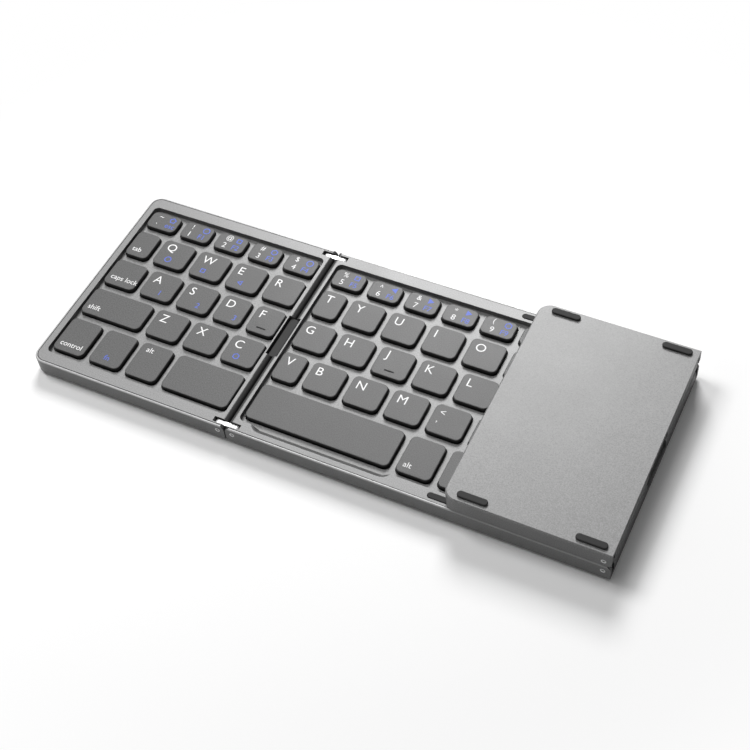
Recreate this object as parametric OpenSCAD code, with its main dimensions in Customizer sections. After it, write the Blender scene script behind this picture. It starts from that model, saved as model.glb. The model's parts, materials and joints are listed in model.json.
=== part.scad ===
// Folding keyboard in three panels, joined by double-pin hinges. The left key panel lies open
// beside the main key panel, and the touchpad panel is folded face down onto the main panel.
// Millimetres, +Z up, X along the width, Y from the front edge to the rear edge. The origin is
// the centre of the standing footprint, at the level of the soles of the feet.

/* [Panels] */
// Depth of all three panels, from front to rear
panel_depth = 96; // [92:1:110]
// Thickness of a panel without its feet
panel_thickness = 7.4; // [7.2:0.1:9]
// Width of the main panel
main_width = 152; // [151:1:170]
// Width of the left panel
left_width = 87.6; // [84:0.1:88]
// Width of the touchpad panel
touchpad_width = 63; // [58:0.5:63.5]
// Radius of the free corners, seen from above
corner_radius = 5; // [3:0.5:6]

/* [Bottom shells] */
// Thickness of the shell's side walls
shell_wall = 0.8; // [0.6:0.1:1]
// Thickness of the shell's floor
shell_floor = 0.8; // [0.7:0.1:1]
// Chamfer along the top edge of the shell
top_chamfer = 0.35; // [0.2:0.05:0.5]
// Chamfer along the bottom edge of the shell
bottom_chamfer = 0.5; // [0.3:0.1:0.6]

/* [Frames] */
// Width of the front and rear rims, with the shell wall
long_rim = 5.8; // [5.4:0.1:6.4]
// Width of the rim at the left panel's free side, with the shell wall
side_rim = 3.6; // [3:0.1:5]
// Width of the rim along a hinge edge
hinge_rim = 2.9; // [2.6:0.1:3.2]
// Radius of the rounded top edge along a hinge
hinge_round = 2.1; // [2:0.05:2.3]
// Depth of the key well below the rim
well_depth = 2.2; // [2:0.1:2.5]
// Thickness of the web between the keys
web_thickness = 0.8; // [0.6:0.1:1]
// Radius of the key well's corners
well_corner = 2.2; // [1.5:0.1:3]
// Width of the frame's skirt inside the shell wall
skirt_wall = 1.4; // [1:0.1:2]
// Gap between the frame and the shell wall
frame_clearance = 0.1; // [0.05:0.05:0.2]

/* [Thumb relief] */
// Distance of the relief's lip from the front edge
relief_lip = 3.1; // [2.6:0.1:4]
// Length of the relief's slope, seen from above
relief_slope = 2.4; // [1.5:0.1:2.6]
// Radius of the relief's ends at the rim
relief_round = 4; // [3:0.5:5]
// Distance of the relief's left end from the left end of the space bar
relief_left = 4.5; // [3:0.1:8]
// Distance of the relief's right end past the right end of the space bar
relief_right = 2.7; // [0:0.1:4]

/* [Keys] */
// Width of a letter key
letter_width = 14.4; // [13.6:0.1:14.8]
// Width of a number key
number_width = 13.5; // [12.8:0.1:14]
// Width of the last number key in a row
last_number_width = 13.9; // [12.8:0.1:14.4]
// Width of the two home-row keys beside the left panel's hinge
short_width = 12.4; // [11.5:0.1:13.5]
// Width of the narrow keys that begin and end the main panel's letter rows
half_width = 10.6; // [9.6:0.1:11.6]
// Width of the tab key
tab_width = 10.4; // [9.6:0.1:11.6]
// Width of the left shift key
shift_width = 27.6; // [20:0.1:32]
// Width of the enter key
enter_width = 23.8; // [18:0.1:28]
// Width of the left panel's space bar
left_space_width = 29.1; // [22:0.1:34]
// Width of the main panel's space bar
main_space_width = 59.8; // [46:0.1:66]
// Width of a modifier key in the bottom row
modifier_width = 13.9; // [13:0.1:14.4]
// Width of an arrow key
arrow_width = 14.2; // [13:0.1:14.8]
// Front-to-rear length of a letter key
letter_length = 13.5; // [12.5:0.1:14]
// Front-to-rear length of a number key
number_length = 8.8; // [8:0.1:9.6]
// Gap between neighbouring keys in a row
key_gap = 2.8; // [2.4:0.1:3.4]
// Gap between rows of keys
row_gap = 3.5; // [3:0.1:4]
// Gap between the rear keys and the well's rear wall
rear_key_margin = 1.9; // [1.4:0.1:2.4]
// Gap between the bottom row and the well's front wall
front_key_margin = 2.4; // [1.8:0.1:3]
// Gap between the keys and the well's wall along a hinge
hinge_key_margin = 1; // [0.8:0.1:1.4]
// Gap between the keys and the well's wall at the free side
side_key_margin = 0.9; // [0.7:0.1:1.4]
// Radius of a key's corners
key_corner = 2.3; // [1.5:0.1:3]
// Depth of the key tops below the rim
key_drop = 0.3; // [0.2:0.1:0.5]
// Thickness of a key's top
cap_top = 1; // [0.8:0.1:1.2]
// Thickness of a key's side walls
cap_wall = 0.8; // [0.6:0.1:1]
// Length of a key's sides that stands in its hole
cap_engagement = 0.5; // [0.3:0.1:0.7]
// Gap around a key in its hole
key_clearance = 0.4; // [0.3:0.05:0.5]
// Travel of a key
key_travel = 1.2; // [0.8:0.1:1.2]
// Radius of the post under a key
stem_radius = 1.6; // [1.2:0.1:2]
// Height of the homing bars on two keys
homing_height = 0.15; // [0.1:0.01:0.18]
// Length of a homing bar
homing_length = 4; // [3:0.1:5]
// Width of a homing bar
homing_width = 0.5; // [0.4:0.1:0.8]
// Distance of a homing bar from the front of its key
homing_inset = 2.5; // [2:0.1:4]

/* [Hinges] */
// Gap between two panels that lie open
seam_gap = 0.4; // [0.3:0.05:0.6]
// Gap between the rims of two folded panels
face_gap = 0.4; // [0.35:0.05:0.6]
// Distance of a hinge pin from its panel's hinge edge
pin_inset = 2.9; // [2.7:0.05:3.1]
// Radius of a hinge pin
pin_radius = 1; // [0.8:0.05:1.1]
// Radial gap between a pin and its seat in a panel
pin_seat_clearance = 0.02; // [0.01:0.01:0.03]
// Radial gap between a pin and its link
pin_running_clearance = 0.05; // [0.03:0.01:0.08]
// Distance of a link plate from the front or rear edge
link_edge = 1.7; // [1.6:0.05:1.9]
// Thickness of a link plate
link_thickness = 1.9; // [1.6:0.1:2]
// Height of a link plate
link_height = 4.2; // [3.6:0.1:4.4]
// Length of a link plate past each pin axis
link_overhang = 2; // [1.8:0.1:2.2]
// Radius of a link plate's corners
link_corner = 1.2; // [0.8:0.1:1.6]
// Gap around a link plate in its pocket
link_clearance = 0.12; // [0.08:0.02:0.15]
// Length of the solid block that holds a hinge's pins
hinge_block = 6.6; // [6.2:0.1:7.5]

/* [Cables across the seams] */
// Width of the flexible cable
cable_width = 20; // [16:1:24]
// Thickness of the flexible cable
cable_thickness = 0.8; // [0.6:0.05:0.9]
// Outer radius of the hump that the open cable makes in the seam
hump_radius = 2; // [1.7:0.05:2.1]
// Bulge of the folded cable past the mouths of its tunnels
cable_bulge = 1.7; // [1.3:0.05:1.7]
// Reach of the cable into each panel
cable_reach = 6.9; // [6:0.1:7.2]
// Gap around the cable
cable_clearance = 0.2; // [0.15:0.05:0.3]

/* [Feet and bumpers] */
// Length of a foot
foot_length = 11.6; // [8:0.2:13]
// Width of a foot
foot_width = 2.7; // [2.6:0.1:3.2]
// Height of a foot
foot_height = 1; // [0.6:0.1:1.5]
// Distance of a foot's middle from the front or rear edge
foot_edge = 3; // [2.8:0.1:3.4]
// Distance of a foot's middle from a hinge edge
foot_hinge_distance = 8.4; // [8.2:0.1:12]
// Distance of a foot's middle from a free side
foot_free_distance = 10.8; // [9:0.1:14]
// Length of a rim bumper
bumper_length = 12.4; // [8:0.2:14]
// Width of a rim bumper
bumper_width = 2.4; // [1.6:0.1:2.6]
// Distance of a bumper's middle from the front or rear edge
bumper_edge = 3.2; // [2.9:0.1:3.6]
// Depth of a bumper's seat in the rim
bumper_seat = 0.6; // [0.4:0.1:0.8]
// Height of a bumper above the rim
bumper_proud = 0.3; // [0.1:0.05:0.3]

/* [Case screws] */
// Radius of a screw's head
screw_head_radius = 1.1; // [0.9:0.05:1.15]
// Height of a screw's head
screw_head_height = 0.4; // [0.3:0.05:0.45]
// Radius of a screw's shank
screw_radius = 0.6; // [0.5:0.05:0.7]
// Length of a screw's shank
screw_length = 2.6; // [2:0.1:2.8]
// Radius of the post that a screw enters
post_radius = 1.9; // [1.6:0.1:2]

/* [Circuits] */
// Thickness of a circuit board
board_thickness = 1; // [0.8:0.1:1.2]
// Distance of a board from a panel's front and rear edges
board_margin = 6.9; // [6.6:0.1:8]
// Thickness of the rubber dome sheet
sheet_thickness = 0.5; // [0.3:0.1:0.6]
// Radius of a rubber dome at its foot
dome_radius = 2.6; // [2:0.1:2.8]
// Radius of a rubber dome at its top
dome_tip_radius = 1.7; // [1.2:0.1:1.9]
// Width of the charging socket
socket_width = 8.6; // [7.5:0.1:9]
// Height of the charging socket
socket_height = 3; // [2.6:0.1:3.1]
// Wall of the charging socket
socket_wall = 0.3; // [0.2:0.05:0.4]
// Distance of the charging socket from the main panel's right edge
socket_offset = 42; // [30:1:60]

/* [Touchpad panel] */
// Width of the frame around the touch surface, at the two sides
pad_side_rim = 5.8; // [5.5:0.1:8]
// Distance of the touch surface from the rear edge
pad_rear_rim = 8; // [6.5:0.1:12]
// Front-to-rear length of the touch surface
pad_length = 58; // [45:1:60]
// Front-to-rear length of a click button
button_length = 13; // [9:0.5:15]
// Gap between the touch surface and the click buttons, and between the buttons
button_gap = 1.2; // [1:0.1:3]
// Gap around the touch surface and the buttons
pad_clearance = 0.15; // [0.1:0.05:0.3]
// Depth of the touch surface and the buttons below the rim
pad_drop = 0.3; // [0.2:0.1:0.5]
// Thickness of the touch surface
pad_thickness = 2; // [1.6:0.1:2.2]
// Thickness of the touch sensor's board
sensor_thickness = 0.8; // [0.6:0.1:1]
// Ledge of the sensor board under the frame
sensor_ledge = 2; // [1:0.1:2.4]
// Travel of a click button
button_travel = 0.4; // [0.2:0.05:0.5]
// Thickness of a click button
button_thickness = 1.2; // [1:0.1:1.4]
// Width of the battery
battery_width = 42; // [30:1:44]
// Front-to-rear length of the battery
battery_length = 60; // [40:1:75]
// Gap between the battery and the cable's connector
battery_gap = 0.8; // [0.5:0.1:1.5]
// Thickness of the battery
battery_thickness = 3.2; // [2.5:0.1:3.3]

/* [Hidden] */
$fn = 48;
over = 1;                                    // overshoot of the shapes that cut
small_step = 0.05;                           // least gap beside something that moves
set_in_gap = 0.1;                            // gap around a piece that is set into another

link_length = 2 * pin_inset + seam_gap;      // between a link's two pin axes
pin_drop = (link_length - face_gap) / 2;     // pin axis below the rim
pin_z = panel_thickness - pin_drop;
pin_cover = 0.3;                             // between a pin's inner end and the key well
pin_end = long_rim - pin_cover;              // inner end of a pin, from the edge
stack_height = 2 * panel_thickness + face_gap;

web_top = panel_thickness - well_depth;
web_bottom = web_top - web_thickness;
board_top = shell_floor + board_thickness;
sheet_top = board_top + sheet_thickness;
key_top = panel_thickness - key_drop;
cap_bottom = web_top - cap_engagement;
dome_drop = 0.2;                             // a dome's top below the web's top
dome_top = web_top - dome_drop;

cable_top = cap_bottom - key_travel - 2 * small_step; // its tails lie under the pressed keys
cable_bottom = cable_top - cable_thickness;
cable_notch = hinge_round + set_in_gap;      // the notch takes only the rounded edge
connector_length = 2.5;                      // of the socket on a board that takes the cable
connector_inset = 1;                         // from the cable's edges
board_gap = 0.4;                             // beside a board
sheet_margin = 0.5;                          // of a board past its dome sheet
socket_depth = board_margin;                 // the socket meets the edge of the board
tongue_inset = 1;                            // of the tongue in the charging socket
battery_corner = 1;

frame_edge = shell_wall + frame_clearance;
link_sweep = link_corner + norm([link_overhang - link_corner, link_height / 2 - link_corner]);
pocket_radius = link_sweep + link_clearance; // from the pin axis to the pocket's walls

origin_x = (main_width - seam_gap - left_width) / 2;

pad_bottom = panel_thickness - pad_drop - pad_thickness;
pad_x0 = pad_side_rim;
pad_x1 = touchpad_width - pad_side_rim;
pad_y1 = panel_depth - pad_rear_rim;
pad_y0 = pad_y1 - pad_length;
button_y1 = pad_y0 - button_gap;
button_y0 = button_y1 - button_length;
button_width = (pad_x1 - pad_x0 - button_gap) / 2;
plunger_bottom = pad_bottom + button_travel + small_step;

// The keys' widths in each row, from rear to front. A row is fitted to its panel's well.
left_rows = [
    [number_width, number_width, number_width, number_width, last_number_width],
    [tab_width, letter_width, letter_width, letter_width, letter_width],
    [letter_width, letter_width, letter_width, short_width, short_width],
    [shift_width, letter_width, letter_width, letter_width],
    [modifier_width, modifier_width, modifier_width, left_space_width]
];
main_rows = [
    [for (i = [1:9]) i < 9 ? number_width : last_number_width],
    [for (i = [1:9]) i == 1 || i == 9 ? half_width : letter_width],
    [for (i = [1:8]) i < 8 ? letter_width : enter_width],
    [for (i = [1:9]) i == 1 || i == 7 ? half_width : i < 7 ? letter_width : arrow_width],
    [main_space_width, modifier_width, modifier_width, arrow_width, arrow_width, arrow_width]
];

// The left panel's keys: name, row and place in the row, and whether it has a homing bar.
LEFT_KEYS = [
    ["key_backquote", 0, 0], ["key_1", 0, 1], ["key_2", 0, 2], ["key_3", 0, 3], ["key_4", 0, 4],
    ["key_tab", 1, 0], ["key_q", 1, 1], ["key_w", 1, 2], ["key_e", 1, 3], ["key_r", 1, 4],
    ["key_caps", 2, 0], ["key_a", 2, 1], ["key_s", 2, 2], ["key_d", 2, 3],
    ["key_f", 2, 4, true],
    ["key_left_shift", 3, 0], ["key_z", 3, 1], ["key_x", 3, 2], ["key_c", 3, 3],
    ["key_control", 4, 0], ["key_function", 4, 1], ["key_alt", 4, 2], ["left_space_bar", 4, 3]
];
// The main panel's keys in groups: name, stretches of keys as row, first and last place in the
// row, and the row and place of a key with a homing bar.
MAIN_KEY_GROUPS = [
    ["main_number_keys", [[0, 0, 8]]],
    ["main_upper_letter_keys", [[1, 0, 8]]],
    ["main_home_keys", [[2, 0, 7]], [2, 2]],
    ["main_lower_letter_keys", [[3, 0, 6], [3, 8, 8]]],
    ["main_space_bar", [[4, 0, 0]]],
    ["main_modifier_keys", [[4, 1, 2]]],
    ["arrow_keys", [[3, 7, 7], [4, 3, 5]]]
];

// ---------------------------------------------------------------- places of keys

function total(list, i = 0) = i < len(list) ? list[i] + total(list, i + 1) : 0;

// A row's widths, drawn in or out together so that the row fills the span.
function fitted(widths, span) =
    let (scale = (span - key_gap * (len(widths) - 1)) / total(widths))
    [for (width = widths) width * scale];

// Distance of key i from the start of its row.
function key_start(widths, i) = i == 0 ? 0 : key_start(widths, i - 1) + widths[i - 1] + key_gap;

left_span = left_width - side_rim - side_key_margin - hinge_rim - hinge_key_margin;
main_span = main_width - 2 * (hinge_rim + hinge_key_margin);
rear_key_edge = panel_depth - long_rim - rear_key_margin;
front_key_edge = long_rim + front_key_margin;
bottom_row_length = rear_key_edge - front_key_edge - number_length - 3 * letter_length - 4 * row_gap;
row_lengths = [number_length, letter_length, letter_length, letter_length, bottom_row_length];
row_fronts = [
    for (row = 0, y = rear_key_edge - row_lengths[0]; row < len(row_lengths);
         row = row + 1, y = y - row_gap - (row < len(row_lengths) ? row_lengths[row] : 0)) y];

// A key's low corner and size in its panel's own X and Y. The left panel is drawn from its
// hinge edge outwards, so its rows run the other way.
function left_key(row, i) =
    let (widths = fitted(left_rows[row], left_span))
    [left_width - side_rim - side_key_margin - key_start(widths, i) - widths[i], row_fronts[row],
     widths[i], row_lengths[row]];

function main_key(row, i) =
    let (widths = fitted(main_rows[row], main_span))
    [hinge_rim + hinge_key_margin + key_start(widths, i), row_fronts[row],
     widths[i], row_lengths[row]];

left_keys = [for (row = [0:len(left_rows) - 1]) for (i = [0:len(left_rows[row]) - 1]) left_key(row, i)];
main_keys = [for (row = [0:len(main_rows) - 1]) for (i = [0:len(main_rows[row]) - 1]) main_key(row, i)];

// ---------------------------------------------------------------- placing

module on_main() {
    translate([-origin_x, -panel_depth / 2, foot_height]) children();
}

// The left panel's own X runs to the left from its hinge edge.
module on_left() {
    on_main() translate([-seam_gap, 0, 0]) mirror([1, 0, 0]) children();
}

// The touchpad panel lies face down, with its hinge edge over the main panel's right edge.
module on_touchpad() {
    on_main() translate([main_width, 0, stack_height]) rotate([0, 180, 0]) children();
}

module front_and_rear() {
    children();
    translate([0, panel_depth, 0]) mirror([0, 1, 0]) children();
}

// The main panel's two hinge edges.
module both_hinge_edges() {
    children();
    translate([main_width, 0, 0]) mirror([1, 0, 0]) children();
}

module extrude_along_y(length) {
    translate([0, length, 0]) rotate([90, 0, 0]) linear_extrude(length) children();
}

module extrude_along_x(length) {
    rotate([90, 0, 90]) linear_extrude(length) children();
}

// ---------------------------------------------------------------- plain shapes

module rounded_rectangle(width, length, radius) {
    translate([radius, 0]) square([width - 2 * radius, length]);
    translate([0, radius]) square([width, length - 2 * radius]);
    for (x = [radius, width - radius]) for (y = [radius, length - radius])
        translate([x, y]) circle(radius);
}

// A pill along X, centred on the origin.
module pill(length, width) {
    square([length - width, width], center = true);
    for (side = [-1, 1]) translate([side * (length - width) / 2, 0]) circle(width / 2);
}

// A square that cuts a corner back by depth along both edges.
module corner_notch(depth) {
    rotate(45) square(depth * sqrt(2), center = true);
}

// What a rounded hinge edge takes off the corner at the origin.
module hinge_edge_waste() {
    difference() {
        translate([-over, -hinge_round]) square([hinge_round + over, hinge_round + over]);
        translate([hinge_round, -hinge_round]) circle(hinge_round);
    }
}

// ---------------------------------------------------------------- panel bodies

// A panel's section across its width, with a rounded edge at each hinge.
module panel_section(width, free_end) {
    difference() {
        square([width, panel_thickness]);
        translate([0, panel_thickness]) hinge_edge_waste();
        if (free_end) {
            translate([width, panel_thickness]) corner_notch(top_chamfer);
            translate([width, 0]) corner_notch(bottom_chamfer);
        } else {
            translate([width, panel_thickness]) mirror([1, 0]) hinge_edge_waste();
        }
    }
}

// A panel's section from front to rear.
module panel_long_section() {
    difference() {
        square([panel_depth, panel_thickness]);
        for (y = [0, panel_depth]) {
            translate([y, panel_thickness]) corner_notch(top_chamfer);
            translate([y, 0]) corner_notch(bottom_chamfer);
        }
    }
}

// What a rounded free corner takes off, at the front, around the corner's own centre.
module free_corner_waste() {
    reach = corner_radius + over;
    difference() {
        translate([0, -reach, -over]) cube([reach, reach, panel_thickness + 2 * over]);
        rotate_extrude() polygon([
            [0, 0], [corner_radius - bottom_chamfer, 0], [corner_radius, bottom_chamfer],
            [corner_radius, panel_thickness - top_chamfer],
            [corner_radius - top_chamfer, panel_thickness], [0, panel_thickness]]);
    }
}

// The whole space of a panel, without feet.
module panel_body(width, free_end) {
    difference() {
        intersection() {
            extrude_along_y(panel_depth) panel_section(width, free_end);
            extrude_along_x(width) panel_long_section();
        }
        if (free_end) front_and_rear()
            translate([width - corner_radius, corner_radius, 0]) free_corner_waste();
    }
}

// A panel's outline from above, drawn in by inset and running past its hinge edges by past.
module panel_outline(width, free_end, inset, past) {
    length = panel_depth - 2 * inset;
    if (free_end) {
        radius = corner_radius - inset;
        translate([-past, inset]) square([width - inset - radius + past, length]);
        translate([0, inset + radius]) square([width - inset, length - 2 * radius]);
        for (y = [inset + radius, inset + length - radius])
            translate([width - inset - radius, y]) circle(radius);
    } else {
        translate([-past, inset]) square([width + 2 * past, length]);
    }
}

function screw_spots(width, free_end) = [
    for (x = [foot_hinge_distance, width - (free_end ? foot_free_distance : foot_hinge_distance)])
        for (y = [foot_edge, panel_depth - foot_edge]) [x, y]];

// The seats of a hinge's pins in a panel, at one hinge edge.
module pin_seats() {
    front_and_rear() translate([pin_inset, -over, pin_z]) rotate([-90, 0, 0])
        cylinder(h = pin_end + over, r = pin_radius + pin_seat_clearance);
}

// A metal tray that is open at its hinge edges.
module bottom_shell(width, free_end) {
    difference() {
        panel_body(width, free_end);
        translate([0, 0, shell_floor]) linear_extrude(panel_thickness)
            panel_outline(width, free_end, shell_wall, over);
        pin_seats();
        if (!free_end) both_hinge_edges() pin_seats();
        for (spot = screw_spots(width, free_end)) translate(spot) {
            translate([0, 0, -over])
                cylinder(h = shell_floor + 2 * over, r = screw_radius + set_in_gap);
            translate([0, 0, -over])
                cylinder(h = screw_head_height + over, r = screw_head_radius + set_in_gap);
        }
    }
}

// The pockets for the links and the notch and tunnel for the cable, at one hinge edge.
module hinge_cuts() {
    front_and_rear() translate([-over, link_edge - link_clearance, pin_z - pocket_radius])
        cube([pin_inset + pocket_radius + over, link_thickness + 2 * link_clearance,
              panel_thickness]);
    width = cable_width + 2 * cable_clearance;
    translate([-over, (panel_depth - width) / 2, cable_bottom - cable_clearance]) {
        cube([cable_notch + over, width, panel_thickness]);
        cube([hinge_rim + 2 * over, width, cable_thickness + 2 * cable_clearance]);
    }
}

// A frame without its openings: a plate over a skirt, with a solid beam and two pin blocks
// along each hinge edge and a post for each screw.
module frame_blank(width, free_end, plate_bottom) {
    difference() {
        intersection() {
            extrude_along_y(panel_depth) panel_section(width, free_end);
            union() {
                translate([0, 0, plate_bottom]) linear_extrude(panel_thickness - plate_bottom)
                    panel_outline(width, free_end, frame_edge, 0);
                translate([0, 0, shell_floor]) linear_extrude(plate_bottom - shell_floor) {
                    difference() {
                        panel_outline(width, free_end, frame_edge, 0);
                        panel_outline(width, free_end, frame_edge + skirt_wall, over);
                    }
                    hinge_beam(width, free_end);
                    for (spot = screw_spots(width, free_end)) translate(spot) circle(post_radius);
                }
            }
        }
        hinge_cuts();
        pin_seats();
        if (!free_end) both_hinge_edges() {
            hinge_cuts();
            pin_seats();
        }
        for (spot = screw_spots(width, free_end)) translate([spot[0], spot[1], shell_floor - over])
            cylinder(h = screw_length + over, r = screw_radius + pin_seat_clearance);
    }
}

// The solid part of a frame's underside along its hinge edges, seen from above.
module hinge_beam(width, free_end) {
    ends = free_end ? [0] : [0, 1];
    for (end = ends) translate([end * width, 0]) mirror([end, 0]) {
        translate([0, frame_edge]) square([hinge_rim, panel_depth - 2 * frame_edge]);
        for (y = [frame_edge, panel_depth - long_rim])
            translate([0, y]) square([hinge_block, long_rim - frame_edge]);
    }
}

// The recess that the keys stand in, and their holes through the web.
module key_well(x0, x1, keys) {
    translate([x0, long_rim, web_top]) linear_extrude(well_depth + over)
        rounded_rectangle(x1 - x0, panel_depth - 2 * long_rim, well_corner);
    for (key = keys)
        translate([key[0] - key_clearance, key[1] - key_clearance, web_bottom - over])
            linear_extrude(web_thickness + 2 * over)
                rounded_rectangle(key[2] + 2 * key_clearance, key[3] + 2 * key_clearance,
                                  key_corner + key_clearance);
}

// ---------------------------------------------------------------- keys

module key_cap(key) {
    height = key_top - cap_bottom;
    translate([key[0], key[1], cap_bottom]) {
        difference() {
            linear_extrude(height) rounded_rectangle(key[2], key[3], key_corner);
            translate([cap_wall, cap_wall, -over]) linear_extrude(height - cap_top + over)
                rounded_rectangle(key[2] - 2 * cap_wall, key[3] - 2 * cap_wall,
                                  key_corner - cap_wall);
        }
        for (x = dome_spots(key)) translate([x, key[3] / 2, dome_top - cap_bottom])
            cylinder(h = key_top - cap_top - dome_top + small_step, r = stem_radius);
    }
}

// A key that is much longer than a letter key stands on three domes, and any other on one.
function dome_spots(key) =
    key[2] > 3 * letter_width ? [key[2] / 6, key[2] / 2, key[2] * 5 / 6] : [key[2] / 2];

module homing_bar(key) {
    translate([key[0] + (key[2] - homing_length) / 2, key[1] + homing_inset, key_top])
        cube([homing_length, homing_width, homing_height]);
}

module left_key_cap(row, i, homing) {
    color("#7d7d7f") on_left() {
        key_cap(left_key(row, i));
        if (homing) homing_bar(left_key(row, i));
    }
}

module main_key_group(stretches, homing) {
    color("#7d7d7f") on_main() {
        for (stretch = stretches) for (i = [stretch[1]:stretch[2]]) key_cap(main_key(stretch[0], i));
        if (homing) homing_bar(main_key(homing[0], homing[1]));
    }
}

// ---------------------------------------------------------------- circuits

// A board on the shell's floor, with the cable's connectors.
module circuit_board(width, free_end) {
    x0 = hinge_rim + board_gap;
    x1 = width - board_gap - (free_end ? frame_edge + skirt_wall : hinge_rim);
    translate([x0, board_margin, shell_floor])
        cube([x1 - x0, panel_depth - 2 * board_margin, board_thickness]);
    cable_connector();
    if (!free_end) translate([width, 0, 0]) mirror([1, 0, 0]) cable_connector();
}

module cable_connector() {
    translate([cable_reach - connector_length, (panel_depth - cable_width) / 2 + connector_inset,
               board_top])
        cube([connector_length, cable_width - 2 * connector_inset, cable_bottom - board_top]);
}

// A rubber sheet on the board, with a dome under each key.
module dome_sheet(width, free_end, keys) {
    side = board_gap + sheet_margin;
    x0 = hinge_rim + side;
    x1 = width - side - (free_end ? frame_edge + skirt_wall : hinge_rim);
    y0 = board_margin + sheet_margin;
    translate([0, 0, board_top]) linear_extrude(sheet_thickness) difference() {
        translate([x0, y0]) square([x1 - x0, panel_depth - 2 * y0]);
        connector_window();
        if (!free_end) translate([width, 0]) mirror([1, 0]) connector_window();
    }
    for (key = keys) for (x = dome_spots(key))
        translate([key[0] + x, key[1] + key[3] / 2, sheet_top])
            cylinder(h = dome_top - sheet_top, r1 = dome_radius, r2 = dome_tip_radius);
}

module connector_window() {
    translate([0, (panel_depth - cable_width) / 2]) square([cable_reach + board_gap, cable_width]);
}

// ---------------------------------------------------------------- feet and screws

module feet(width, free_end) {
    for (spot = screw_spots(width, free_end)) translate([spot[0], spot[1], -foot_height])
        linear_extrude(foot_height) pill(foot_length, foot_width);
}

module case_screws(width, free_end) {
    for (spot = screw_spots(width, free_end)) translate(spot) {
        cylinder(h = screw_head_height, r = screw_head_radius);
        cylinder(h = shell_floor + screw_length - set_in_gap, r = screw_radius);
    }
}

module hinge_pins() {
    front_and_rear() translate([pin_inset, 0, pin_z]) rotate([-90, 0, 0])
        cylinder(h = pin_end - small_step, r = pin_radius);
}

// ---------------------------------------------------------------- hinge links and cables

// A link between two pins, the first on the origin and the second at link_length along X.
module link_plate() {
    translate([0, link_edge + link_thickness, 0]) rotate([90, 0, 0])
        linear_extrude(link_thickness) difference() {
            translate([-link_overhang, -link_height / 2])
                rounded_rectangle(link_length + 2 * link_overhang, link_height, link_corner);
            for (x = [0, link_length]) translate([x, 0])
                circle(pin_radius + pin_running_clearance);
        }
}

// A cable between two open panels, with a hump over the middle of the seam.
module open_cable_section() {
    tail = cable_reach + seam_gap / 2;
    inner = hump_radius - cable_thickness;
    difference() {
        union() {
            translate([-tail, cable_bottom]) square([2 * tail, cable_thickness]);
            translate([0, cable_top]) circle(hump_radius);
        }
        translate([0, cable_top]) circle(inner);
        translate([-inner, cable_bottom - over]) square([2 * inner, cable_thickness + over]);
        translate([-hump_radius - over, cable_bottom - 2 * hump_radius])
            square([2 * (hump_radius + over), 2 * hump_radius]);
    }
}

// A cable between two folded panels: two tails joined by a shallow bow outside their mouths.
module folded_cable_section() {
    middle = stack_height / 2;
    half_rise = middle - (cable_top + cable_bottom) / 2;
    radius = (pow(half_rise, 2) + pow(cable_bulge, 2)) / (2 * cable_bulge);
    mouth = main_width - cable_notch;
    bow_x = mouth + cable_bulge - radius;
    for (z = [cable_bottom, stack_height - cable_top])
        translate([main_width - cable_reach, z])
            square([cable_reach - cable_notch + cable_thickness / 2, cable_thickness]);
    intersection() {
        translate([bow_x, middle]) difference() {
            circle(radius + cable_thickness / 2, $fn = 96);
            circle(radius - cable_thickness / 2, $fn = 96);
        }
        translate([mouth, cable_bottom])
            square([cable_bulge + cable_thickness, stack_height - 2 * cable_bottom]);
    }
}

module cable_band() {
    translate([0, (panel_depth - cable_width) / 2, 0]) extrude_along_y(cable_width) children();
}

// ---------------------------------------------------------------- main panel

module main_bottom_shell() {
    color("#8e8f92") on_main() difference() {
        bottom_shell(main_width, false);
        socket_place() linear_extrude(socket_depth)
            pill(socket_width + 2 * set_in_gap, socket_height + 2 * set_in_gap);
    }
}

module main_key_frame() {
    color("#b9babd") on_main() difference() {
        frame_blank(main_width, false, web_bottom);
        key_well(hinge_rim, main_width - hinge_rim, main_keys);
        thumb_relief();
        bumper_places() linear_extrude(bumper_seat + over)
            pill(bumper_length + set_in_gap, bumper_width + set_in_gap);
        socket_place() linear_extrude(socket_depth + over)
            pill(socket_width + 2 * set_in_gap, socket_height + 2 * set_in_gap);
    }
}

// The slope in front of the space bar, from the rim's lip down to the web.
module thumb_relief() {
    space_bar = main_key(len(main_rows) - 1, 0);
    x0 = space_bar[0] + relief_left + relief_round;
    x1 = space_bar[0] + space_bar[2] + relief_right - relief_round;
    middle = relief_lip + relief_round;
    rise = 0.5;
    steep = relief_slope / well_depth;
    top_radius = relief_round + rise * steep;
    bottom_radius = relief_round - relief_slope;
    translate([x0, 0, 0]) extrude_along_x(x1 - x0) polygon([
        [middle - top_radius, panel_thickness + rise], [middle - bottom_radius, web_top],
        [middle, web_top], [middle, panel_thickness + rise]]);
    for (x = [x0, x1]) translate([x, middle, web_top])
        cylinder(h = well_depth + rise, r1 = bottom_radius, r2 = top_radius);
}

// The bumpers lie where the free sides of the two folded panels come down.
module bumper_places() {
    x = (left_width + main_width - touchpad_width) / 2;
    front_and_rear() translate([x, bumper_edge, panel_thickness - bumper_seat]) children();
}

// The socket's frame of reference: its mouth at the rear edge, looking along +Z inwards.
module socket_place() {
    translate([main_width - socket_offset, panel_depth + over, (shell_floor + web_bottom) / 2])
        rotate([90, 0, 0]) children();
}

module charging_socket() {
    inner_width = socket_width - 2 * socket_wall;
    inner_height = socket_height - 2 * socket_wall;
    color("silver") on_main() socket_place() translate([0, 0, over]) {
        difference() {
            linear_extrude(socket_depth) pill(socket_width, socket_height);
            translate([0, 0, -over]) linear_extrude(socket_depth - socket_wall + over)
                pill(inner_width, inner_height);
        }
        translate([tongue_inset - inner_width / 2, -inner_height / 8, tongue_inset])
            cube([inner_width - 2 * tongue_inset, inner_height / 4, socket_depth - tongue_inset]);
    }
}

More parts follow.
